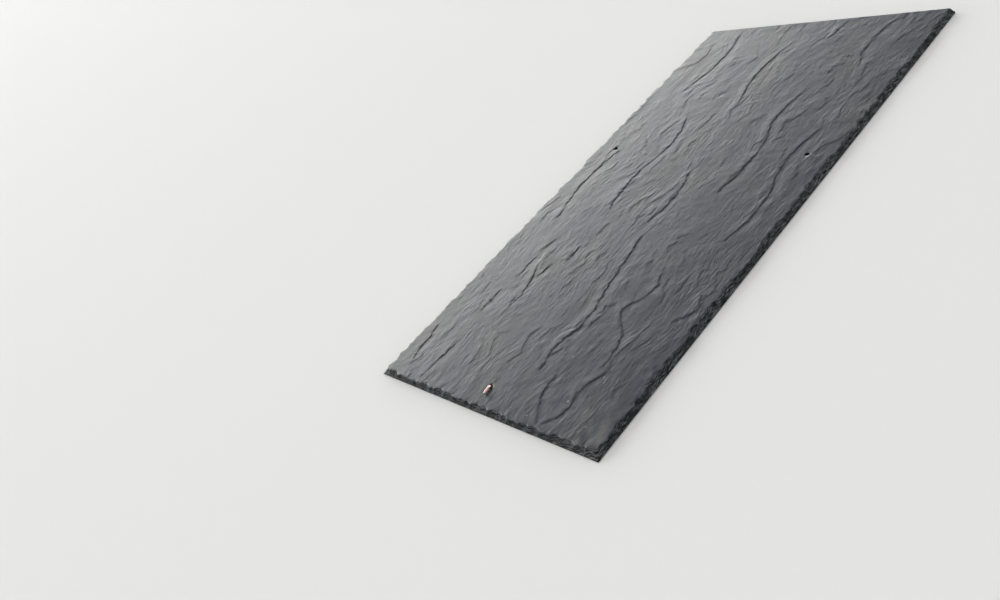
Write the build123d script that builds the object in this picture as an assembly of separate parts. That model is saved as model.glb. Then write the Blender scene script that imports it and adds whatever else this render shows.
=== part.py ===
from build123d import *
import math
import os
import random

# A roofing slate for double-lap work, lying face up, with the copper disc
# rivet that holds down its tail. Millimetres. The tail is towards -Y, the
# head towards +Y, and the weathered face is up.

# The slate
LENGTH = 600.0
WIDTH = 300.0
THICKNESS = 5.5

# How the slate is laid decides where its nail holes are: the nails go in
# just above the heads of the slates two courses down.
HEAD_LAP = 100.0
NAIL_CLEARANCE = 12.0
NAIL_FROM_SIDE = 30.0
NAIL_HOLE_DIAMETER = 4.5

# The rivet's hole is wider all round than the rivet's stem
RIVET_FROM_TAIL = 25.0
STEM_HOLE_CLEARANCE = 0.75

# The dressed edge: a bevel round both sides and the tail, cut into by
# shell-shaped flakes struck off side by side. It leaves a narrow upright
# land along the back. The head is sawn square.
BEVEL_SET_BACK = 2.8
BACK_LAND = 0.8

# Each flake's scar starts on the outline a little above the back and ends
# in the face, some way in from the outline. Between the two it is hollow.
FLAKE_PITCH = 13.0
FLAKE_REACH = 4.4
FLAKE_START = 0.5
FLAKE_HOLLOW = 0.4
FLAKE_VARIATION = 0.4
FLAKE_SEED = 21

# A larger flake is off each corner of the tail
CORNER_REACH = 8.5
CORNER_START = 0.8
CORNER_HOLLOW = 0.7

# The disc rivet: its stem goes up the hole and is turned down the slope,
# nearly on the face
DISC_DIAMETER = 20.0
DISC_THICKNESS = 0.6
STEM_DIAMETER = 2.5
STEM_INNER_BEND_RADIUS = 0.9
STEM_TURNED_LENGTH = 9.0
STEM_ABOVE_FACE = 0.1
STEM_TIP_CHAMFER = 0.5

# Levels and places that follow from the sizes above. The disc lies on the
# ground, and the slate's back lies on the disc.
BACK_LEVEL = DISC_THICKNESS
MIDDLE_LEVEL = BACK_LEVEL + THICKNESS / 2
FACE_LEVEL = BACK_LEVEL + THICKNESS
SIDE_X = WIDTH / 2
HEAD_Y = LENGTH / 2
TAIL_Y = -LENGTH / 2
GAUGE = (LENGTH - HEAD_LAP) / 2
NAIL_Y = TAIL_Y + GAUGE + HEAD_LAP + NAIL_CLEARANCE
NAIL_X = SIDE_X - NAIL_FROM_SIDE
RIVET_Y = TAIL_Y + RIVET_FROM_TAIL
RIVET_HOLE_DIAMETER = STEM_DIAMETER + 2 * STEM_HOLE_CLEARANCE
STEM_TURNED_LEVEL = FACE_LEVEL + STEM_ABOVE_FACE + STEM_DIAMETER / 2


def flake_ball(foot, outward, reach, start, hollow):
    """The ball whose surface is one flake's scar.

    foot is the flake's middle on the outline, and outward points away from
    the slate. Above the foot, the ball meets the outline at start above the
    back, and the face at reach in from the outline. The arc between those
    two is hollow by the given depth.
    """
    rise = THICKNESS - start
    half_chord = math.hypot(reach, rise) / 2
    radius = (half_chord**2 + hollow**2) / (2 * hollow)
    chord_to_centre = radius - hollow
    lean = math.atan2(reach, rise)
    centre_out = chord_to_centre * math.cos(lean) - reach / 2
    centre_up = chord_to_centre * math.sin(lean) + start + rise / 2
    centre = foot + outward * centre_out
    turn = math.degrees(math.atan2(outward.Y, outward.X))
    return Pos(centre.X, centre.Y, BACK_LEVEL + centre_up) * Rot(0, 0, turn) * Sphere(radius)


def flakes_along(first, last, outward, chance):
    """Flakes of uneven size, side by side along one edge."""

    def vary(size):
        return size * (1 + FLAKE_VARIATION * chance.uniform(-1, 1))

    edge = last - first
    count = max(1, round(edge.length / FLAKE_PITCH))
    balls = []
    for number in range(count):
        foot = first + edge * ((number + vary(0.5)) / count)
        balls.append(
            flake_ball(foot, outward, vary(FLAKE_REACH), vary(FLAKE_START), vary(FLAKE_HOLLOW))
        )
    return balls


def bevelled_blank():
    """The sawn sheet with a plain bevel along its sides and tail."""
    blank = Pos(0, 0, MIDDLE_LEVEL) * Box(WIDTH, LENGTH, THICKNESS)
    face = blank.faces().sort_by(Axis.Z)[-1]
    dressed_edges = face.edges().sort_by(Axis.Y)[:-1]
    return chamfer(dressed_edges, BEVEL_SET_BACK, THICKNESS - BACK_LAND, reference=face)


def dressed_slate():
    """The blank with its flakes off."""
    chance = random.Random(FLAKE_SEED)
    tail_left = Vector(-SIDE_X, TAIL_Y, 0)
    tail_right = Vector(SIDE_X, TAIL_Y, 0)
    head_left = Vector(-SIDE_X, HEAD_Y, 0)
    head_right = Vector(SIDE_X, HEAD_Y, 0)
    balls = flakes_along(tail_left, tail_right, Vector(0, -1, 0), chance)
    balls += flakes_along(tail_right, head_right, Vector(1, 0, 0), chance)
    balls += flakes_along(tail_left, head_left, Vector(-1, 0, 0), chance)
    for corner, side in ((tail_left, -1), (tail_right, 1)):
        outward = Vector(side, -1, 0).normalized()
        balls.append(flake_ball(corner, outward, CORNER_REACH, CORNER_START, CORNER_HOLLOW))
    return bevelled_blank() - balls


def drilling(x, y, diameter):
    """A drill that passes right through the slate."""
    return Pos(x, y, MIDDLE_LEVEL) * Cylinder(diameter / 2, 2 * THICKNESS)


def slate():
    """The dressed slate with its two nail holes and its rivet hole."""
    holes = [drilling(side * NAIL_X, NAIL_Y, NAIL_HOLE_DIAMETER) for side in (-1, 1)]
    holes.append(drilling(0, RIVET_Y, RIVET_HOLE_DIAMETER))
    return dressed_slate() - holes


def disc_rivet():
    """The rivet: a flat disc and a round stem, in one piece."""
    disc = Pos(0, 0, DISC_THICKNESS / 2) * Cylinder(DISC_DIAMETER / 2, DISC_THICKNESS)
    foot = (0, 0, DISC_THICKNESS / 2)
    bend = (0, 0, STEM_TURNED_LEVEL)
    tip = (0, -STEM_TURNED_LENGTH, STEM_TURNED_LEVEL)
    bend_radius = STEM_INNER_BEND_RADIUS + STEM_DIAMETER / 2
    path = FilletPolyline(foot, bend, tip, radius=bend_radius)
    stem = sweep(Plane(foot) * Circle(STEM_DIAMETER / 2), path)
    cut_end = stem.faces().sort_by(Axis.Y)[0]
    stem = chamfer(cut_end.edges(), STEM_TIP_CHAMFER)
    return Pos(0, RIVET_Y, 0) * (disc + stem)


os.makedirs("parts", exist_ok=True)
export_step(slate(), "parts/slate.step")
export_step(disc_rivet(), "parts/tail_rivet.step")
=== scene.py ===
import bpy
from mathutils import Matrix, Vector


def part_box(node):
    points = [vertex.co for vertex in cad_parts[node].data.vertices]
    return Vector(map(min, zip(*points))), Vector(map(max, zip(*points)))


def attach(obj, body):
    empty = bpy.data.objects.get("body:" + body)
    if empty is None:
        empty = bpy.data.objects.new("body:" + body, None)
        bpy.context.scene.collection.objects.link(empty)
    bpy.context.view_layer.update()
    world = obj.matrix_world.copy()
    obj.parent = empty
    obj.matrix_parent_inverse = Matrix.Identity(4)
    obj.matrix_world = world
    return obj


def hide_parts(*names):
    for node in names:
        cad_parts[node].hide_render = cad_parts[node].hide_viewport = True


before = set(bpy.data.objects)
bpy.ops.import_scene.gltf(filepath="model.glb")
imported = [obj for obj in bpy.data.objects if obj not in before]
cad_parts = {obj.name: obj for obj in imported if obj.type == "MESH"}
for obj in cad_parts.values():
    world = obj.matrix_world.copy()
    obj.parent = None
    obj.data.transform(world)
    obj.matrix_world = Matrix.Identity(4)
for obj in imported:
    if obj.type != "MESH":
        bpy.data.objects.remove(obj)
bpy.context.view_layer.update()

# One millimetre, in the frame's metres
MM = 0.001

# The slate's own box: its back lies on the level BACK, and its face is FACE
slate_low, slate_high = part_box("slate")
BACK = slate_low.z
FACE = slate_high.z
HALF_WIDTH = slate_high.x
HALF_LENGTH = slate_high.y
TAIL = slate_low.y

# The drilled holes: place across, place along, and diameter
NAIL_HOLES = ((-120 * MM, 62 * MM, 4.5 * MM), (120 * MM, 62 * MM, 4.5 * MM))
RIVET_HOLE = (0.0, TAIL + 25 * MM, 4.0 * MM)

# The sheet that becomes the slate's surface. It starts as square cells, and
# they are divided where the edge is dressed and where the holes are.
CELLS_ACROSS = 400
CELLS_ALONG = 480
DRESSED_BAND = 7.5 * MM
HOLE_SURROUND = 6 * MM
BAND_CUTS = 2
EDGE_INSET = 0.02 * MM
START_ABOVE_FACE = 0.01 * MM
SLATE_TRIANGLES = 184000

# Cleavage steps of the face. Each line is given by points, head end first:
# mm across from the middle line, and mm up from the tail. The stone is
# higher on the left of a line and drops to its right.
CLEAVAGE_STEPS = (
    ((19, 233), (29, 167), (38, 112), (31, 86), (36, 56)),
    ((75, 188), (79, 163), (67, 142), (87, 111), (94, 77)),
    ((100, 73), (91, 48), (94, 30), (80, 9)),
    ((55, 58), (61, 31), (76, 8)),
    ((128, 174), (133, 150), (120, 138)),
    ((-87, 182), (-89, 174), (-87, 157), (-89, 150)),
    ((-95, 133), (-94, 123), (-94, 114), (-95, 101)),
    ((-132, 72), (-123, 24)),
    ((-86, 63), (-91, 9)),
    ((-76, 173), (-70, 161), (-66, 150), (-63, 139), (-61, 128), (-64, 120)),
    ((-59, 178), (-60, 169), (-62, 158)),
    ((-83, 212), (-85, 204), (-86, 194)),
    ((-44, 206), (-43, 196), (-43, 185)),
    ((8, 330), (16, 290), (10, 250)),
    ((-60, 420), (-48, 370), (-57, 320), (-50, 262)),
    ((62, 470), (54, 420), (66, 365), (60, 300)),
    ((112, 400), (104, 350), (116, 290), (108, 236)),
    ((-112, 360), (-120, 300), (-108, 240)),
    ((-8, 560), (-18, 500), (-6, 440)),
    ((96, 590), (88, 540), (98, 505)),
    ((-96, 585), (-88, 530), (-102, 470)),
    ((40, 598), (34, 560)),
)
STEP_DROP = 0.4 * MM
STEP_WIDTH = 0.5 * MM
STEP_RUN = 12 * MM
STEP_FADE = 18 * MM
STEP_PULL = 0.8 * MM
SCALE_RISER = 1.1 * MM
LEDGE_HEIGHT = 1.2 * MM

# How steeply a chip rises from the dressed edge into the face
CHIP_SLOPE = 0.7

# The rivet's mesh, the spacing of the teeth of the pliers that turned it,
# and how far its end leans to the right
RIVET_CELL = 0.13 * MM
PLIER_TEETH = 0.7 * MM
RIVET_LEAN = 1.6 * MM

# Colours of the stone and the copper, as sRGB
SLATE_BLUE_GREY = "2b2f37"
SLATE_GREY = "34363c"
SLATE_OLIVE = "363833"
SLATE_VIOLET = "2d2f3b"
SLATE_DUST = "80817f"
SLATE_WARM_DUST = "9a978c"
COPPER_GREEN_STAIN = "2e3b34"
# Dark brown ring at the rivet hole: partly copper stain, partly painted shade
COPPER_STAIN_AND_PAINTED_SHADE = "20120f"
# The struck edge: near-black, partly painted shade of the joint, and a painted highlight for ledges
# that face up
SCAR_DARK_AND_PAINTED_SHADE = "0e0f11"
SCAR_PAINTED_HIGHLIGHT = "66676a"
SAWN_DARK = "25262a"
SAWN_LIGHT = "414244"
COPPER_BRIGHT = "f4ded8"
COPPER_DULL = "c09287"
COPPER_BROWN = "5a3a30"
SPECK_SPACING_MM = 11
SPECK_WIDTH_MM = 1.1

# Larger specks: mm across, mm up from the tail, and width
LARGE_SPECKS = ((88, 37, 1.8), (102, 69, 1.6), (106, 64, 1.1), (122, 21, 1.4), (61, 12, 1.5))

# The light: a white surround that grows brighter towards the horizon, towards
# GLOW_SIDE, like a wide open sky, and less so on the side away from it, and a
# soft lamp on the side that LAMP_SIDE points to. The horizon's levels are
# sines of the height above it. The others run from 1 at GLOW_SIDE to -1 on the
# side away from it.
SURROUND_STRENGTH = 0.14
GLOW_STRENGTH = 4.2
GLOW_SIDE = Vector((-0.918, 0.217, -0.326))
GLOW_START = 0.478
GLOW_FULL = 0.7
HORIZON_STRENGTH = 1.35
HORIZON_START = 0.58
HORIZON_FULL = 0.1
FAR_STRENGTH = 0.5
FAR_START = 0.25
FAR_FULL = -0.4
LAMP_STRENGTH = 0.5
LAMP_WIDTH = 0.4
LAMP_SIDE = Vector((-0.6, -0.3, 0.75))

# The photograph's viewpoint: where the camera stands, and the directions of
# its right, its top and its back
CAMERA_PLACE = Vector((0.58254, -0.51268, 0.4552))
CAMERA_RIGHT = Vector((0.62503, 0.6326, -0.45733))
CAMERA_UP = Vector((-0.1529, 0.67374, 0.72298))
CAMERA_BACK = Vector((0.76548, -0.38196, 0.51783))
CAMERA_LENS_MM = 31.83
CAMERA_SENSOR_MM = 36.0


def linear(code):
    """The linear colour of an sRGB hex value such as 808080."""
    parts = [int(code[start : start + 2], 16) / 255 for start in (0, 2, 4)]
    light = [part / 12.92 if part <= 0.04045 else ((part + 0.055) / 1.055) ** 2.4 for part in parts]
    return (*light, 1.0)


def add(tree, kind, inputs=None, **settings):
    """Adds one node. An input is a value, a socket, or a node whose first output is meant."""
    node = tree.nodes.new(kind)
    for name, value in settings.items():
        setattr(node, name, value)
    for key, value in (inputs or {}).items():
        if isinstance(value, bpy.types.Node):
            value = value.outputs[0]
        if isinstance(value, bpy.types.NodeSocket):
            tree.links.new(value, node.inputs[key])
        else:
            node.inputs[key].default_value = value
    return node


def mottle(tree, place, size_mm, shift=0.0, detail=2.0):
    """A soft random pattern from 0 to 1, with patches of the given mm along X, Y and Z."""
    spread = add(
        tree,
        "ShaderNodeVectorMath",
        {0: place, 1: [1 / (side * MM) for side in size_mm], 2: (shift, shift, shift)},
        operation="MULTIPLY_ADD",
    )
    return add(
        tree, "ShaderNodeTexNoise", {"Vector": spread, "Scale": 1.0, "Detail": detail}
    )


def total(tree, heights):
    """The sum of several heights."""
    result = heights[0]
    for height in heights[1:]:
        result = add(tree, "ShaderNodeMath", {0: result, 1: height}, operation="ADD")
    return result


def waves(tree, place, size_mm, height, shift=0.0, detail=2.0):
    """Soft random waves that rise and fall by up to half of about the given height."""
    pattern = mottle(tree, place, size_mm, shift, detail)
    level = add(tree, "ShaderNodeMath", {0: pattern, 1: 0.5}, operation="SUBTRACT")
    return add(tree, "ShaderNodeMath", {0: level, 1: 2 * height}, operation="MULTIPLY")


def along_the_grain(tree, place):
    """The same place, counted across the grain, which winds a little from tail to head."""
    winding = waves(tree, place, (75, 110, 50), 20 * MM, 3.1, 1.0)
    sideways = add(tree, "ShaderNodeCombineXYZ", {"X": winding, "Y": 0.0, "Z": 0.0})
    return add(tree, "ShaderNodeVectorMath", {0: place, 1: sideways}, operation="ADD")


def cleavage_step(tree, across, along, points):
    """One step line, where the layers of the stone have split off to its right.

    The stone rises gently towards the line from both sides and drops at it.
    Returns the height, and how far each place near the line is pulled
    sideways, so that the mesh follows the broken edge.
    """
    head_end = TAIL + points[0][1] * MM
    tail_end = TAIL + points[-1][1] * MM
    progress = add(
        tree,
        "ShaderNodeMapRange",
        {"Value": along, "From Min": tail_end, "From Max": head_end},
    )
    line = add(tree, "ShaderNodeFloatCurve", {"Value": progress})
    shares = [
        (
            (TAIL + point_along * MM - tail_end) / (head_end - tail_end),
            (point_across * MM + HALF_WIDTH) / (2 * HALF_WIDTH),
        )
        for point_across, point_along in points
    ]
    curve = line.mapping.curves[0]
    curve.points[0].location = shares[-1]
    curve.points[1].location = shares[0]
    for share in shares[1:-1]:
        curve.points.new(*share)
    line.mapping.update()
    own_place = add(tree, "ShaderNodeCombineXYZ", {"X": points[0][0] * MM, "Y": along, "Z": 0.0})
    line_across = add(
        tree,
        "ShaderNodeMath",
        {0: line, 1: 2 * HALF_WIDTH, 2: -HALF_WIDTH},
        operation="MULTIPLY_ADD",
    )
    line_across = total(
        tree,
        [
            line_across,
            waves(tree, own_place, (1, 17, 1), 3.2 * MM, 3.1, 3.0),
            waves(tree, own_place, (1, 5, 1), 1.5 * MM, 8.7, 1.0),
        ],
    )
    beside = add(tree, "ShaderNodeMath", {0: across, 1: line_across}, operation="SUBTRACT")
    drop = add(
        tree,
        "ShaderNodeMapRange",
        {
            "Value": beside,
            "From Min": -STEP_WIDTH / 2,
            "From Max": STEP_WIDTH / 2,
            "To Min": STEP_DROP / 2,
            "To Max": -STEP_DROP / 2,
        },
    )
    away = add(tree, "ShaderNodeMath", {0: beside}, operation="ABSOLUTE")
    nearness = add(
        tree,
        "ShaderNodeMapRange",
        {"Value": away, "From Min": 0.0, "From Max": STEP_RUN, "To Min": 1.0, "To Max": 0.0},
        interpolation_type="SMOOTHERSTEP",
    )
    shown = add(tree, "ShaderNodeFloatCurve", {"Value": progress})
    presence = shown.mapping.curves[0]
    presence.points[0].location = (0.0, 0.0)
    presence.points[1].location = (1.0, 0.0)
    fade_share = min(0.4, STEP_FADE / (head_end - tail_end))
    for place_along in (fade_share, 1 - fade_share):
        presence.points.new(place_along, 1.0)
    shown.mapping.update()
    depth = add(
        tree,
        "ShaderNodeMapRange",
        {
            "Value": mottle(tree, own_place, (1, 11, 1), 6.6, 1.0),
            "From Min": 0.35,
            "From Max": 0.6,
            "To Min": 0.3,
            "To Max": 1.1,
        },
    )
    height = drop
    for share in (nearness, shown, depth):
        height = add(tree, "ShaderNodeMath", {0: height, 1: share}, operation="MULTIPLY")
    side = add(tree, "ShaderNodeMath", {0: beside}, operation="SIGN")
    to_arris = add(
        tree,
        "ShaderNodeMath",
        {0: side, 1: STEP_WIDTH / 2, 2: line_across},
        operation="MULTIPLY_ADD",
    )
    pull = add(tree, "ShaderNodeMath", {0: to_arris, 1: across}, operation="SUBTRACT")
    is_near = add(tree, "ShaderNodeMath", {0: away, 1: STEP_PULL}, operation="LESS_THAN")
    is_shown = add(tree, "ShaderNodeMath", {0: shown, 1: 0.05}, operation="GREATER_THAN")
    for share in (is_near, is_shown):
        pull = add(tree, "ShaderNodeMath", {0: pull, 1: share}, operation="MULTIPLY")
    return height, pull


def cleavage_scales(tree, place, across, spacing, drop, length_mm, shift, bareness):
    """Smaller steps side by side, each in broken lengths, as on a riven face."""
    wander = waves(tree, place, (spacing / MM * 2.2, length_mm, 50), 1.8, shift, 4.0)
    turn = add(tree, "ShaderNodeMath", {0: across, 1: 1 / spacing, 2: wander}, operation="MULTIPLY_ADD")
    strip = add(tree, "ShaderNodeMath", {0: turn}, operation="FLOOR")
    share = add(tree, "ShaderNodeMath", {0: turn}, operation="FRACT")
    riser_share = SCALE_RISER / spacing
    rise = add(
        tree,
        "ShaderNodeMapRange",
        {"Value": share, "From Min": 0.0, "From Max": 1 - riser_share},
    )
    fall = add(
        tree,
        "ShaderNodeMapRange",
        {"Value": share, "From Min": 1.0, "From Max": 1 - riser_share},
    )
    saw = add(tree, "ShaderNodeMath", {0: rise, 1: fall}, operation="MINIMUM")
    apart = add(tree, "ShaderNodeCombineXYZ", {"X": 0.0, "Y": 0.0, "Z": strip})
    own_place = add(tree, "ShaderNodeVectorMath", {0: place, 1: apart}, operation="ADD")
    patches = mottle(tree, own_place, (spacing / MM * 4, length_mm, 50), shift + 5, 1.0)
    shown = add(
        tree,
        "ShaderNodeMapRange",
        {"Value": patches, "From Min": bareness, "From Max": bareness + 0.12, "To Max": drop},
        interpolation_type="SMOOTHSTEP",
    )
    return add(tree, "ShaderNodeMath", {0: saw, 1: shown}, operation="MULTIPLY")


def chips(tree, place, size_mm, depth, shift):
    """Small hollows side by side with sharp ridges between them, all below zero."""
    spread = add(
        tree,
        "ShaderNodeVectorMath",
        {0: place, 1: [1 / (side * MM) for side in size_mm], 2: (shift, shift, shift)},
        operation="MULTIPLY_ADD",
    )
    cells = add(tree, "ShaderNodeTexVoronoi", {"Vector": spread, "Scale": 1.0})
    hollow = add(
        tree,
        "ShaderNodeMath",
        {0: cells.outputs["Distance"], 1: cells.outputs["Distance"]},
        operation="MULTIPLY",
    )
    return add(
        tree,
        "ShaderNodeMapRange",
        {"Value": hollow, "From Min": 0.0, "From Max": 0.7, "To Min": -depth, "To Max": 0.0},
    )


def ledges(tree, place, level):
    """Breaks a slope into the ledges that the layers of the stone leave on it."""
    shuffle = waves(tree, place, (12, 12, 50), 1.4, 4.1, 4.0)
    layer = add(
        tree, "ShaderNodeMath", {0: level, 1: 1 / LEDGE_HEIGHT, 2: shuffle}, operation="MULTIPLY_ADD"
    )
    whole = add(tree, "ShaderNodeMath", {0: layer}, operation="FLOOR")
    rest = add(tree, "ShaderNodeMath", {0: layer}, operation="FRACT")
    riser = add(
        tree,
        "ShaderNodeMapRange",
        {"Value": rest, "From Min": 0.45, "From Max": 0.95},
    )
    tread = add(tree, "ShaderNodeMath", {0: rest, 1: 0.3}, operation="MULTIPLY")
    riser = add(tree, "ShaderNodeMath", {0: riser, 1: 0.7, 2: tread}, operation="MULTIPLY_ADD")
    stepped = add(tree, "ShaderNodeMath", {0: whole, 1: riser}, operation="ADD")
    stepped = add(tree, "ShaderNodeMath", {0: stepped, 1: shuffle}, operation="SUBTRACT")
    return add(tree, "ShaderNodeMath", {0: stepped, 1: LEDGE_HEIGHT}, operation="MULTIPLY")


def distance_from_dressing(tree):
    """How far each place on the face is from the dressed edge, or from a hole."""
    solid = add(tree, "GeometryNodeObjectInfo", {"Object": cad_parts["slate"]})
    facing = add(
        tree, "ShaderNodeSeparateXYZ", {0: add(tree, "GeometryNodeInputNormal")}
    ).outputs["Z"]
    where = add(
        tree, "ShaderNodeSeparateXYZ", {0: add(tree, "GeometryNodeInputPosition")}
    ).outputs["Y"]
    is_face = add(tree, "ShaderNodeMath", {0: facing, 1: 0.999}, operation="GREATER_THAN")
    is_head = add(
        tree, "ShaderNodeMath", {0: where, 1: HALF_LENGTH - 0.5 * MM}, operation="GREATER_THAN"
    )
    is_plain = add(tree, "ShaderNodeMath", {0: is_face, 1: is_head}, operation="MAXIMUM")
    worked = add(
        tree,
        "GeometryNodeDeleteGeometry",
        {"Geometry": solid.outputs["Geometry"], "Selection": is_plain},
        domain="FACE",
    )
    nearest = add(tree, "GeometryNodeProximity", {0: worked}, target_element="FACES")
    return nearest.outputs["Distance"]


def riven_relief():
    """The node group that gives the sheet its cleavage steps, streaks and chips."""
    tree = bpy.data.node_groups.new("riven relief", "GeometryNodeTree")
    for way in ("INPUT", "OUTPUT"):
        tree.interface.new_socket("Geometry", in_out=way, socket_type="NodeSocketGeometry")
    sheet = add(tree, "NodeGroupInput")
    place = add(tree, "GeometryNodeInputPosition")
    flat_place = add(tree, "ShaderNodeVectorMath", {0: place, 1: (1, 1, 0)}, operation="MULTIPLY")
    sides = add(tree, "ShaderNodeSeparateXYZ", {0: place})
    along = sides.outputs["Y"]
    level = sides.outputs["Z"]

    grain = along_the_grain(tree, flat_place)
    across = add(tree, "ShaderNodeSeparateXYZ", {0: grain}).outputs["X"]
    steps = [cleavage_step(tree, sides.outputs["X"], along, points) for points in CLEAVAGE_STEPS]
    relief = total(
        tree,
        [height for height, pull in steps]
        + [
            cleavage_scales(tree, grain, across, 17 * MM, 0.18 * MM, 38, 11.3, 0.52),
            cleavage_scales(tree, grain, across, 7 * MM, 0.07 * MM, 17, 23.9, 0.52),
            waves(tree, grain, (85, 150, 50), 0.25 * MM, 1.7),
            waves(tree, grain, (16, 42, 50), 0.18 * MM, 5.9, 2.0),
            waves(tree, grain, (6, 18, 50), 0.08 * MM, 14.2, 3.0),
        ],
    )
    pull = total(tree, [pull for height, pull in steps])
    kept = add(tree, "GeometryNodeCaptureAttribute", {"Geometry": sheet}, domain="POINT")
    for name, value in (("relief", relief), ("pull", pull)):
        kept.capture_items.new("FLOAT", name)
        tree.links.new(value.outputs[0], kept.inputs[name])
    relief = kept.outputs["relief"]
    pull = kept.outputs["pull"]
    face_level = add(tree, "ShaderNodeMath", {0: relief, 1: FACE - 0.3 * MM}, operation="ADD")
    face_level = add(
        tree,
        "ShaderNodeMath",
        {0: face_level, 1: FACE + 0.06 * MM, 2: 0.05 * MM},
        operation="SMOOTH_MIN",
    )

    # Chips in the dressed edge and a little way into the face beside it
    inward = distance_from_dressing(tree)
    worked_level = add(
        tree,
        "ShaderNodeMath",
        {0: inward, 1: CHIP_SLOPE, 2: level},
        operation="MULTIPLY_ADD",
    )
    scar_level = total(
        tree,
        [
            worked_level,
            chips(tree, flat_place, (10, 10, 50), 0.7 * MM, 2.2),
            chips(tree, flat_place, (4, 4, 50), 0.45 * MM, 6.4),
            waves(tree, flat_place, (2, 2, 50), 0.22 * MM, 9.9, 3.0),
        ],
    )
    scar_level = ledges(tree, flat_place, scar_level)
    scar_level = add(
        tree, "ShaderNodeMath", {0: scar_level, 1: BACK + 0.15 * MM}, operation="MAXIMUM"
    )
    new_level = add(tree, "ShaderNodeMath", {0: face_level, 1: scar_level}, operation="MINIMUM")
    is_scar = add(tree, "ShaderNodeMath", {0: scar_level, 1: face_level}, operation="LESS_THAN")
    new_across = add(tree, "ShaderNodeMath", {0: sides.outputs["X"], 1: pull}, operation="ADD")
    new_place = add(
        tree,
        "ShaderNodeCombineXYZ",
        {"X": new_across, "Y": along, "Z": new_level},
    )
    marked = add(
        tree,
        "GeometryNodeStoreNamedAttribute",
        {"Geometry": kept, "Name": "dressed", "Value": is_scar},
        data_type="FLOAT",
        domain="POINT",
    )
    marked = add(
        tree,
        "GeometryNodeStoreNamedAttribute",
        {"Geometry": marked, "Name": "relief", "Value": relief},
        data_type="FLOAT",
        domain="POINT",
    )
    moved = add(tree, "GeometryNodeSetPosition", {"Geometry": marked, "Position": new_place})
    add(tree, "NodeGroupOutput", {0: moved})
    return tree


def apply_all_modifiers(piece):
    bpy.context.view_layer.objects.active = piece
    for modifier in list(piece.modifiers):
        bpy.ops.object.modifier_apply(modifier=modifier.name)


def start_alone(piece):
    """Selects this piece alone and makes it the active one."""
    bpy.ops.object.select_all(action="DESELECT")
    piece.select_set(True)
    bpy.context.view_layer.objects.active = piece


def divide_faces(piece, is_chosen, cuts):
    """Divides the faces whose middles are chosen."""
    bpy.context.tool_settings.mesh_select_mode = (False, False, True)
    bpy.ops.object.mode_set(mode="EDIT")
    bpy.ops.mesh.select_all(action="DESELECT")
    bpy.ops.object.mode_set(mode="OBJECT")
    for face in piece.data.polygons:
        face.select = is_chosen(face.center)
    bpy.ops.object.mode_set(mode="EDIT")
    bpy.ops.mesh.subdivide(number_cuts=cuts)
    bpy.ops.object.mode_set(mode="OBJECT")


def is_worked(middle):
    """Whether a place on the sheet is in the dressed band or round a hole."""
    beside = HALF_WIDTH - abs(middle.x) < DRESSED_BAND
    at_tail = middle.y - TAIL < DRESSED_BAND
    round_a_hole = any(
        (middle.x - across) ** 2 + (middle.y - along) ** 2 < HOLE_SURROUND**2
        for across, along, diameter in (*NAIL_HOLES, RIVET_HOLE)
    )
    return beside or at_tail or round_a_hole


def riven_sheet():
    """The slate's upper surface: the solid's own, with the relief of riven stone."""
    bpy.ops.object.select_all(action="DESELECT")
    bpy.ops.mesh.primitive_grid_add(
        x_subdivisions=CELLS_ACROSS,
        y_subdivisions=CELLS_ALONG,
        size=1,
        location=(0, 0, FACE + START_ABOVE_FACE),
    )
    sheet = bpy.context.object
    sheet.name = "riven_slate"
    sheet.scale = (2 * (HALF_WIDTH - EDGE_INSET), 2 * (HALF_LENGTH - EDGE_INSET), 1)
    bpy.ops.object.transform_apply(location=True, rotation=True, scale=True)
    divide_faces(sheet, is_worked, BAND_CUTS)
    wrap = sheet.modifiers.new("onto the solid", "SHRINKWRAP")
    wrap.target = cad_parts["slate"]
    wrap.wrap_method = "PROJECT"
    wrap.use_project_z = True
    wrap.use_negative_direction = True
    wrap.use_positive_direction = False
    relief = sheet.modifiers.new("riven relief", "NODES")
    relief.node_group = riven_relief()
    apply_all_modifiers(sheet)
    return sheet


def closed_below(sheet):
    """Gives the sheet its upright land and its flat back, and thins its mesh where it is plain."""
    start_alone(sheet)
    bpy.ops.object.mode_set(mode="EDIT")
    bpy.ops.mesh.select_mode(type="EDGE")
    bpy.ops.mesh.select_all(action="SELECT")
    bpy.ops.mesh.region_to_loop()
    bpy.ops.mesh.extrude_region_move()
    bpy.ops.transform.resize(value=(1, 1, 0), center_override=(0, 0, BACK))
    bpy.ops.mesh.edge_face_add()
    bpy.ops.mesh.select_all(action="SELECT")
    bpy.ops.mesh.normals_make_consistent(inside=False)
    bpy.ops.object.mode_set(mode="OBJECT")
    triangles = sum(len(face.vertices) - 2 for face in sheet.data.polygons)
    thinning = sheet.modifiers.new("thinning", "DECIMATE")
    thinning.ratio = min(1.0, SLATE_TRIANGLES / triangles)
    apply_all_modifiers(sheet)


def drilled(slate):
    """Drills the nail holes and the rivet hole."""
    for across, along, diameter in (*NAIL_HOLES, RIVET_HOLE):
        bpy.ops.object.select_all(action="DESELECT")
        bpy.ops.mesh.primitive_cylinder_add(
            vertices=48,
            radius=diameter / 2,
            depth=20 * MM,
            location=(across, along, (BACK + FACE) / 2),
        )
        drill = bpy.context.object
        hole = slate.modifiers.new("hole", "BOOLEAN")
        hole.object = drill
        hole.operation = "DIFFERENCE"
        hole.solver = "EXACT"
        apply_all_modifiers(slate)
        bpy.data.objects.remove(drill)


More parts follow.
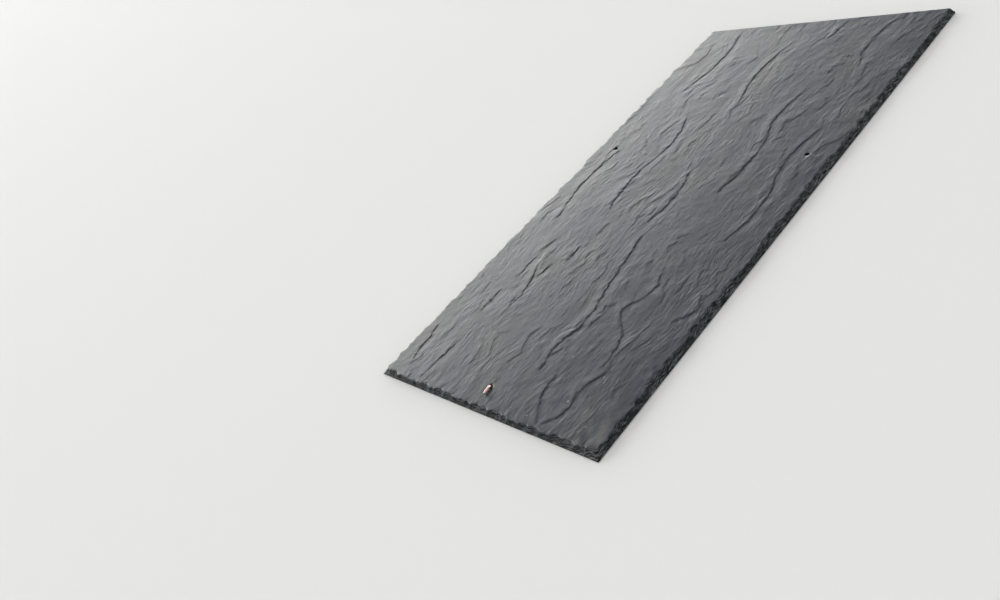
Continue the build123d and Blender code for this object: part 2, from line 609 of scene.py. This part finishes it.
def riven_slate_finish():
    """Riven slate: fine clay stone, split along its cleavage and left as it splits.

    To the eye it is satin dark grey with a blue cast, drawn out along the
    grain, with pale grit and rubbed places here and there.
    """
    material = bpy.data.materials.new("riven slate")
    material.use_nodes = True
    tree = material.node_tree
    tree.nodes.clear()
    place = add(tree, "ShaderNodeTexCoord").outputs["Object"]
    grain = along_the_grain(tree, place)

    # Broad casts of colour: blue-grey, violet-grey and olive-grey. Their random patches are the stone's
    # own tone. The steady shift towards violet-grey on the right and olive-grey on the left is a
    # painted tint of the reflection.
    cast = mottle(tree, grain, (60, 120, 60), 4.4, 3.0)
    second_cast_and_painted_tint = mottle(tree, grain, (45, 90, 60), 15.2, 3.0)
    # Painted reflection tint: the second cast leans towards violet-grey on the right and olive-grey on
    # the left
    to_the_right = add(tree, "ShaderNodeSeparateXYZ", {0: place}).outputs["X"]
    second_cast_and_painted_tint = add(
        tree,
        "ShaderNodeMath",
        {0: to_the_right, 1: -0.12 / HALF_WIDTH, 2: second_cast_and_painted_tint},
        operation="MULTIPLY_ADD",
    )
    olive_share = add(
        tree,
        "ShaderNodeMapRange",
        {"Value": second_cast_and_painted_tint, "From Min": 0.5, "From Max": 0.68, "To Max": 0.7},
    )
    violet_share = add(
        tree,
        "ShaderNodeMapRange",
        {"Value": second_cast_and_painted_tint, "From Min": 0.48, "From Max": 0.32, "To Max": 0.7},
    )
    colour = add(
        tree,
        "ShaderNodeMix",
        {0: cast, 6: linear(SLATE_BLUE_GREY), 7: linear(SLATE_GREY)},
        data_type="RGBA",
    )

    # Places rubbed pale along the grain, in patches, and specks of grit
    rubbed = mottle(tree, grain, (3, 12, 20), 21.6, 5.0)
    rubbed_streaks = add(
        tree,
        "ShaderNodeMapRange",
        {"Value": rubbed, "From Min": 0.5, "From Max": 0.78, "To Max": 0.22},
    )
    rubbed_patches = add(
        tree,
        "ShaderNodeMapRange",
        {"Value": mottle(tree, grain, (26, 40, 20), 8.3), "From Min": 0.45, "From Max": 0.65},
    )
    rubbed_share = add(
        tree, "ShaderNodeMath", {0: rubbed_streaks, 1: rubbed_patches}, operation="MULTIPLY"
    )
    speck_place = add(
        tree,
        "ShaderNodeVectorMath",
        {0: place, 1: [1 / (SPECK_SPACING_MM * MM)] * 2 + [0.0]},
        operation="MULTIPLY",
    )
    specks = add(tree, "ShaderNodeTexVoronoi", {"Vector": speck_place, "Scale": 1.0})
    speck_dots = add(
        tree,
        "ShaderNodeMapRange",
        {
            "Value": specks.outputs["Distance"],
            "From Min": 0.4 * SPECK_WIDTH_MM / SPECK_SPACING_MM,
            "From Max": 0.7 * SPECK_WIDTH_MM / SPECK_SPACING_MM,
            "To Min": 1.0,
            "To Max": 0.0,
        },
    )
    is_speck = add(
        tree,
        "ShaderNodeMapRange",
        {"Value": specks.outputs["Color"], "From Min": 0.62, "From Max": 0.85, "To Max": 0.9},
    )
    speck_share = add(
        tree, "ShaderNodeMath", {0: speck_dots, 1: is_speck}, operation="MULTIPLY"
    )
    for speck_across, speck_up, speck_width in LARGE_SPECKS:
        away = add(
            tree,
            "ShaderNodeVectorMath",
            {0: place, 1: (speck_across * MM, TAIL + speck_up * MM, FACE)},
            operation="DISTANCE",
        )
        dot = add(
            tree,
            "ShaderNodeMapRange",
            {
                "Value": away.outputs["Value"],
                "From Min": 0.7 * speck_width * MM,
                "From Max": 0.3 * speck_width * MM,
                "To Max": 0.85,
            },
        )
        speck_share = add(tree, "ShaderNodeMath", {0: speck_share, 1: dot}, operation="MAXIMUM")

    # Dust that stays on one corner of the tail, a green copper stain round the rivet, and a dark brown
    # ring at the rivet hole that is partly copper stain and partly painted shade
    from_corner = add(
        tree,
        "ShaderNodeVectorMath",
        {0: place, 1: (HALF_WIDTH - 8 * MM, TAIL + 6 * MM, FACE)},
        operation="DISTANCE",
    )
    corner_dust = add(
        tree,
        "ShaderNodeMapRange",
        {"Value": from_corner.outputs["Value"], "From Min": 55 * MM, "From Max": 6 * MM},
    )
    dust_patches = add(
        tree,
        "ShaderNodeMapRange",
        {"Value": mottle(tree, grain, (7, 16, 9), 41.2, 4.0), "From Min": 0.4, "From Max": 0.65},
    )
    dust_share = add(
        tree, "ShaderNodeMath", {0: corner_dust, 1: dust_patches}, operation="MULTIPLY"
    )
    dust_share = add(tree, "ShaderNodeMath", {0: dust_share, 1: 0.28}, operation="MULTIPLY")
    from_rivet = add(
        tree,
        "ShaderNodeVectorMath",
        {0: place, 1: (RIVET_HOLE[0], RIVET_HOLE[1] - 1 * MM, FACE)},
        operation="DISTANCE",
    ).outputs["Value"]
    green_stain = add(
        tree,
        "ShaderNodeMapRange",
        {"Value": from_rivet, "From Min": 16 * MM, "From Max": 5 * MM, "To Max": 0.5},
    )
    # Painted shade round the hole and under the turned-down end, mixed with copper stain
    brown_stain_and_painted_shade = add(
        tree,
        "ShaderNodeMapRange",
        {"Value": from_rivet, "From Min": 5.5 * MM, "From Max": 2.5 * MM, "To Max": 0.9},
    )
    layers = (
        (olive_share, SLATE_OLIVE),
        (violet_share, SLATE_VIOLET),
        (green_stain, COPPER_GREEN_STAIN),
        (rubbed_share, SLATE_DUST),
        (dust_share, SLATE_WARM_DUST),
        (speck_share, SLATE_DUST),
        (brown_stain_and_painted_shade, COPPER_STAIN_AND_PAINTED_SHADE),
    )
    for share, tint in layers:
        colour = add(
            tree,
            "ShaderNodeMix",
            {0: share, 6: colour.outputs[2], 7: linear(tint)},
            data_type="RGBA",
        )
    roughness = add(
        tree,
        "ShaderNodeMapRange",
        {"Value": mottle(tree, grain, (5, 30, 20), 27.3, 4.0), "To Min": 0.22, "To Max": 0.4},
    )

    # Relief too fine for the mesh, in metres
    ripples = waves(tree, grain, (3.5, 9, 6), 0.16 * MM, 33.1, 5.0)
    ripple_patches = add(
        tree,
        "ShaderNodeMapRange",
        {
            "Value": mottle(tree, grain, (24, 38, 20), 51.3, 2.0),
            "From Min": 0.38,
            "From Max": 0.62,
            "To Min": 0.3,
            "To Max": 1.0,
        },
    )
    height = total(
        tree,
        [
            add(tree, "ShaderNodeMath", {0: ripples, 1: ripple_patches}, operation="MULTIPLY"),
            waves(tree, grain, (0.9, 9, 6), 0.009 * MM, 12.1, 2.0),
            waves(tree, place, (0.5, 0.7, 0.5), 0.014 * MM, 2.9, 2.0),
        ],
    )
    bump = add(tree, "ShaderNodeBump", {"Height": height, "Strength": 1.0, "Distance": 1.0})
    shader = add(
        tree,
        "ShaderNodeBsdfPrincipled",
        {
            "Base Color": colour.outputs[2],
            "Roughness": roughness,
            "IOR": 1.55,
            "Specular IOR Level": 0.3,
            "Normal": bump,
        },
    )
    add(tree, "ShaderNodeOutputMaterial", {"Surface": shader})
    return material


def struck_slate_finish():
    """Struck slate: the scars where the edge was dressed with a blade.

    Broken across its layers the stone is dull and nearly black, and part of that darkness is painted
    shade of the joint. Only the small ledges that face up are lighter, a painted highlight broken into
    crumbs.
    """
    material = bpy.data.materials.new("struck slate")
    material.use_nodes = True
    tree = material.node_tree
    tree.nodes.clear()
    coordinates = add(tree, "ShaderNodeTexCoord")
    place = coordinates.outputs["Object"]
    facing = add(tree, "ShaderNodeSeparateXYZ", {0: coordinates.outputs["Normal"]}).outputs["Z"]
    # Painted highlight: scar faces that face up are coloured lighter where the crumbs pattern is high
    painted_ledge_highlight = add(
        tree,
        "ShaderNodeMapRange",
        {"Value": facing, "From Min": 0.35, "From Max": 0.9},
    )
    crumbs = add(
        tree,
        "ShaderNodeMapRange",
        {"Value": mottle(tree, place, (6, 6, 0.4), 7.7, 4.0), "From Min": 0.42, "From Max": 0.62},
    )
    highlight_on_crumbs = add(tree, "ShaderNodeMath", {0: painted_ledge_highlight, 1: crumbs}, operation="MULTIPLY")
    colour = add(
        tree,
        "ShaderNodeMix",
        {0: highlight_on_crumbs, 6: linear(SCAR_DARK_AND_PAINTED_SHADE), 7: linear(SCAR_PAINTED_HIGHLIGHT)},
        data_type="RGBA",
    )
    height = total(
        tree,
        [
            waves(tree, place, (5, 5, 0.45), 0.16 * MM, 3.3, 4.0),
            waves(tree, place, (0.7, 0.7, 0.4), 0.04 * MM, 5.8, 2.0),
        ],
    )
    bump = add(tree, "ShaderNodeBump", {"Height": height, "Strength": 1.0, "Distance": 1.0})
    shader = add(
        tree,
        "ShaderNodeBsdfPrincipled",
        {
            "Base Color": colour.outputs[2],
            "Roughness": 0.55,
            "IOR": 1.55,
            "Specular IOR Level": 0.08,
            "Normal": bump,
        },
    )
    add(tree, "ShaderNodeOutputMaterial", {"Surface": shader})
    return material


def sawn_slate_finish():
    """Sawn slate: the head and the back, cut flat and fairly smooth.

    It is dull grey with cloudy patches, faint marks of the saw across it
    and the soft swells that are left from splitting.
    """
    material = bpy.data.materials.new("sawn slate")
    material.use_nodes = True
    tree = material.node_tree
    tree.nodes.clear()
    place = add(tree, "ShaderNodeTexCoord").outputs["Object"]
    dust = add(
        tree,
        "ShaderNodeMapRange",
        {"Value": mottle(tree, place, (22, 40, 3), 3.9, 6.0), "From Min": 0.36, "From Max": 0.66},
    )
    colour = add(
        tree,
        "ShaderNodeMix",
        {0: dust, 6: linear(SAWN_DARK), 7: linear(SAWN_LIGHT)},
        data_type="RGBA",
    )
    height = total(
        tree,
        [
            waves(tree, place, (14, 50, 6), 0.3 * MM, 8.2, 3.0),
            waves(tree, place, (60, 1.4, 0.7), 0.03 * MM, 1.2, 2.0),
            waves(tree, place, (0.5, 0.5, 0.5), 0.015 * MM, 5.8, 2.0),
        ],
    )
    bump = add(tree, "ShaderNodeBump", {"Height": height, "Strength": 1.0, "Distance": 1.0})
    shader = add(
        tree,
        "ShaderNodeBsdfPrincipled",
        {"Base Color": colour.outputs[2], "Roughness": 0.6, "IOR": 1.55, "Normal": bump},
    )
    add(tree, "ShaderNodeOutputMaterial", {"Surface": shader})
    return material


def finished(slate):
    """Gives each face of the mesh its finish: riven, struck or sawn."""
    riven, struck, sawn = range(3)
    for finish in (riven_slate_finish(), struck_slate_finish(), sawn_slate_finish()):
        slate.data.materials.append(finish)
    dressed = slate.data.attributes["dressed"].data
    holes = (*NAIL_HOLES, RIVET_HOLE)
    for face in slate.data.polygons:
        middle = face.center
        in_a_hole = any(
            (middle.x - across) ** 2 + (middle.y - along) ** 2 < (diameter / 2) ** 2
            for across, along, diameter in holes
        )
        scar_corners = sum(dressed[corner].value > 0.5 for corner in face.vertices)
        if in_a_hole:
            face.material_index = struck
        elif face.normal.z < -0.5 or middle.y > HALF_LENGTH - 2 * EDGE_INSET:
            face.material_index = sawn
        elif scar_corners == len(face.vertices):
            face.material_index = struck
        else:
            face.material_index = riven


def hand_worked():
    """The node group that softens the rivet's shape by the marks of hammer and pliers."""
    tree = bpy.data.node_groups.new("hand worked", "GeometryNodeTree")
    for way in ("INPUT", "OUTPUT"):
        tree.interface.new_socket("Geometry", in_out=way, socket_type="NodeSocketGeometry")
    rivet = add(tree, "NodeGroupInput")
    place = add(tree, "GeometryNodeInputPosition")
    sides = add(tree, "ShaderNodeSeparateXYZ", {0: place})
    dents = total(
        tree,
        [
            chips(tree, place, (1.5, 1.5, 1.5), 0.09 * MM, 4.4),
            waves(tree, place, (0.7, 0.7, 0.7), 0.03 * MM, 7.1),
        ],
    )

    # The jaws left fine grooves across the turned-down end
    groove = add(
        tree,
        "ShaderNodeMath",
        {0: sides.outputs["Y"], 1: PLIER_TEETH / 2},
        operation="PINGPONG",
    )
    bitten = add(
        tree,
        "ShaderNodeMapRange",
        {
            "Value": sides.outputs["Y"],
            "From Min": RIVET_HOLE[1] - 3 * MM,
            "From Max": RIVET_HOLE[1] - 5 * MM,
            "To Max": -0.16,
        },
    )
    normal = add(tree, "GeometryNodeInputNormal")
    flank = add(
        tree,
        "ShaderNodeMath",
        {0: add(tree, "ShaderNodeSeparateXYZ", {0: normal}).outputs["X"]},
        operation="ABSOLUTE",
    )
    grooves = add(tree, "ShaderNodeMath", {0: groove, 1: bitten}, operation="MULTIPLY")
    grooves = add(tree, "ShaderNodeMath", {0: grooves, 1: flank}, operation="MULTIPLY")
    is_stem = add(
        tree,
        "ShaderNodeMapRange",
        {"Value": sides.outputs["Z"], "From Min": FACE - 1 * MM, "From Max": FACE + 0.3 * MM},
    )
    depth = add(tree, "ShaderNodeMath", {0: dents, 1: grooves}, operation="ADD")
    depth = add(tree, "ShaderNodeMath", {0: depth, 1: is_stem}, operation="MULTIPLY")
    offset = add(tree, "ShaderNodeVectorMath", {0: normal, "Scale": depth}, operation="SCALE")

    # The end isn't turned down quite straight
    turned = add(
        tree,
        "ShaderNodeMapRange",
        {
            "Value": sides.outputs["Y"],
            "From Min": RIVET_HOLE[1],
            "From Max": RIVET_HOLE[1] - 10 * MM,
            "To Max": RIVET_LEAN,
        },
    )
    turned = add(tree, "ShaderNodeMath", {0: turned, 1: is_stem}, operation="MULTIPLY")
    aside = add(tree, "ShaderNodeCombineXYZ", {"X": turned, "Y": 0.0, "Z": 0.0})
    offset = add(tree, "ShaderNodeVectorMath", {0: offset, 1: aside}, operation="ADD")
    moved = add(tree, "GeometryNodeSetPosition", {"Geometry": rivet, "Offset": offset})
    add(tree, "NodeGroupOutput", {0: moved})
    return tree


def copper_rivet():
    """The disc rivet, with rims and edges softened and its end turned down by hand."""
    start_alone(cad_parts["tail_rivet"])
    bpy.ops.object.duplicate()
    rivet = bpy.context.object
    rivet.name = "copper_rivet"
    bpy.ops.object.mode_set(mode="EDIT")
    bpy.ops.mesh.select_all(action="SELECT")
    bpy.ops.mesh.remove_doubles(threshold=0.001 * MM)
    bpy.ops.object.mode_set(mode="OBJECT")
    skin = rivet.modifiers.new("even skin", "REMESH")
    skin.mode = "VOXEL"
    skin.voxel_size = RIVET_CELL
    softening = rivet.modifiers.new("softened rims", "SMOOTH")
    softening.factor = 0.5
    softening.iterations = 5
    marks = rivet.modifiers.new("hand worked", "NODES")
    marks.node_group = hand_worked()
    apply_all_modifiers(rivet)
    return rivet


def dulled_copper():
    """Annealed copper sheet and rod, cut and turned down by hand.

    It is pale pink where it is rubbed, duller in patches where it has weathered, and browner low down
    towards the stone, with a little green on the stone beside it.
    """
    material = bpy.data.materials.new("dulled copper")
    material.use_nodes = True
    tree = material.node_tree
    tree.nodes.clear()
    place = add(tree, "ShaderNodeTexCoord").outputs["Object"]
    dulling = add(
        tree,
        "ShaderNodeMapRange",
        {"Value": mottle(tree, place, (1.6, 2.2, 1.6), 5.5, 4.0), "From Min": 0.35, "From Max": 0.7},
    )
    colour = add(
        tree,
        "ShaderNodeMix",
        {0: dulling, 6: linear(COPPER_BRIGHT), 7: linear(COPPER_DULL)},
        data_type="RGBA",
    )
    above = add(tree, "ShaderNodeSeparateXYZ", {0: place}).outputs["Z"]
    low_down = add(
        tree,
        "ShaderNodeMapRange",
        {"Value": above, "From Min": FACE + 0.9 * MM, "From Max": FACE - 0.1 * MM, "To Max": 0.8},
    )
    colour = add(
        tree,
        "ShaderNodeMix",
        {0: low_down, 6: colour.outputs[2], 7: linear(COPPER_BROWN)},
        data_type="RGBA",
    )
    roughness = add(
        tree,
        "ShaderNodeMapRange",
        {"Value": dulling, "To Min": 0.28, "To Max": 0.5},
    )
    height = waves(tree, place, (0.25, 0.6, 0.25), 0.01 * MM, 3.3, 3.0)
    bump = add(tree, "ShaderNodeBump", {"Height": height, "Strength": 1.0, "Distance": 1.0})
    shader = add(
        tree,
        "ShaderNodeBsdfPrincipled",
        {
            "Base Color": colour.outputs[2],
            "Metallic": 1.0,
            "Roughness": roughness,
            "Normal": bump,
        },
    )
    add(tree, "ShaderNodeOutputMaterial", {"Surface": shader})
    return material


def pale_floor():
    bpy.ops.object.select_all(action="DESELECT")
    bpy.ops.mesh.primitive_plane_add(size=80)
    floor = bpy.context.object
    floor.name = "floor"
    material = bpy.data.materials.new("pale matt floor")
    material.use_nodes = True
    shader = material.node_tree.nodes["Principled BSDF"]
    shader.inputs["Base Color"].default_value = linear("e4e4e2")
    shader.inputs["Roughness"].default_value = 0.9
    floor.data.materials.append(material)


def studio_light():
    """A white surround, brighter on one side and round the horizon, and a soft lamp."""
    world = bpy.data.worlds.new("studio")
    world.use_nodes = True
    tree = world.node_tree
    background = tree.nodes["Background"]
    background.inputs["Color"].default_value = (1, 1, 1, 1)
    direction = add(tree, "ShaderNodeTexCoord").outputs["Generated"]
    towards = add(
        tree, "ShaderNodeVectorMath", {0: direction, 1: GLOW_SIDE}, operation="DOT_PRODUCT"
    )
    height = add(tree, "ShaderNodeSeparateXYZ", {0: direction}).outputs["Z"]
    glows = [
        add(
            tree,
            "ShaderNodeMapRange",
            {"Value": level, "From Min": start, "From Max": full, "To Max": strength},
            interpolation_type="SMOOTHSTEP",
        )
        for level, start, full, strength in (
            (towards.outputs["Value"], GLOW_START, GLOW_FULL, GLOW_STRENGTH),
            (towards.outputs["Value"], FAR_START, FAR_FULL, FAR_STRENGTH),
            (height, HORIZON_START, HORIZON_FULL, HORIZON_STRENGTH),
        )
    ]
    strength = add(
        tree, "ShaderNodeMath", {0: total(tree, glows), 1: SURROUND_STRENGTH}, operation="ADD"
    )
    tree.links.new(strength.outputs[0], background.inputs["Strength"])
    bpy.context.scene.world = world
    lamp = bpy.data.lights.new("soft lamp", "SUN")
    lamp.energy = LAMP_STRENGTH
    lamp.angle = LAMP_WIDTH
    body = bpy.data.objects.new("soft lamp", lamp)
    bpy.context.collection.objects.link(body)
    body.rotation_euler = LAMP_SIDE.to_track_quat("Z", "Y").to_euler()


def camera_of_the_photograph():
    camera = bpy.data.cameras.new("camera")
    camera.lens = CAMERA_LENS_MM
    camera.sensor_width = CAMERA_SENSOR_MM
    body = bpy.data.objects.new("camera", camera)
    bpy.context.collection.objects.link(body)
    turn = Matrix((CAMERA_RIGHT, CAMERA_UP, CAMERA_BACK)).transposed().to_4x4()
    body.matrix_world = Matrix.Translation(CAMERA_PLACE) @ turn
    bpy.context.scene.camera = body


camera_of_the_photograph()
studio_light()
pale_floor()

slate = riven_sheet()
closed_below(slate)
drilled(slate)
start_alone(slate)
bpy.ops.object.shade_smooth_by_angle(angle=0.6)
finished(slate)
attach(slate, "root")
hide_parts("slate")

rivet = copper_rivet()
rivet.data.materials.clear()
rivet.data.materials.append(dulled_copper())
start_alone(rivet)
bpy.ops.object.shade_smooth_by_angle(angle=0.6)
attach(rivet, "root")
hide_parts("tail_rivet")

bpy.context.scene.view_settings.view_transform = "Standard"
